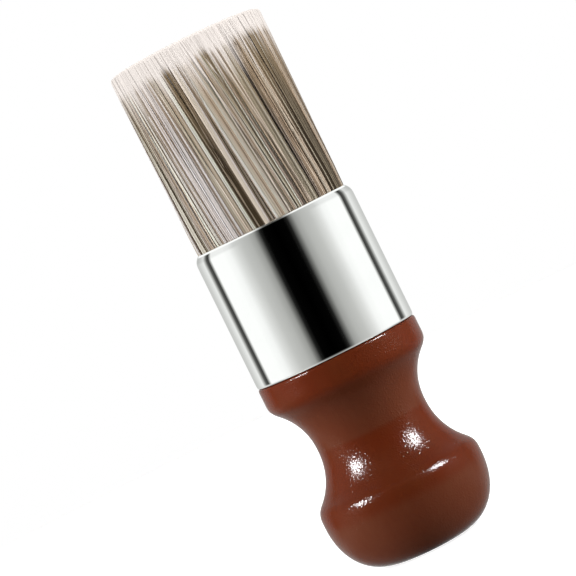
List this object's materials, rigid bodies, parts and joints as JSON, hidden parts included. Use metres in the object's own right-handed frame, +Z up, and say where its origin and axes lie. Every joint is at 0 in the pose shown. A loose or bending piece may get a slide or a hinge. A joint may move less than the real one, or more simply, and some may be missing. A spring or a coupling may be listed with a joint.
{
  "type": "leather polish brush",
  "caption": "Round hand brush for working polish into leather: a turned lacquered wooden handle, a bright metal ferrule and a dense flat-topped knot of soft filaments.",
  "frame": {"origin": "centre of the flat foot at the bottom of the handle", "axes": "+Z up along the brush's own axis, from the foot to the filament tips; the brush is turned, so X and Y are alike"},
  "size_m": [0.0334, 0.0334, 0.1076],
  "materials": {
    "lacquered_wood": "red-brown lacquer, glossy with a slight orange peel",
    "glue": "set glue",
    "chrome_plate": "bright plated",
    "resin": "set resin",
    "dark_filament": "dark brown filament with white tips",
    "pale_filament": "grey-beige filament with white tips",
    "core_filament": "mixed brown filament with white tips"
  },
  "bodies": {
    "root": {"handle": "lacquered_wood", "tenon_glue_ring": "glue", "ferrule": "chrome_plate", "resin_plug": "resin", "dark_filaments": "dark_filament", "pale_filaments": "pale_filament", "core_filaments": "core_filament"}
  },
  "joints": []
}
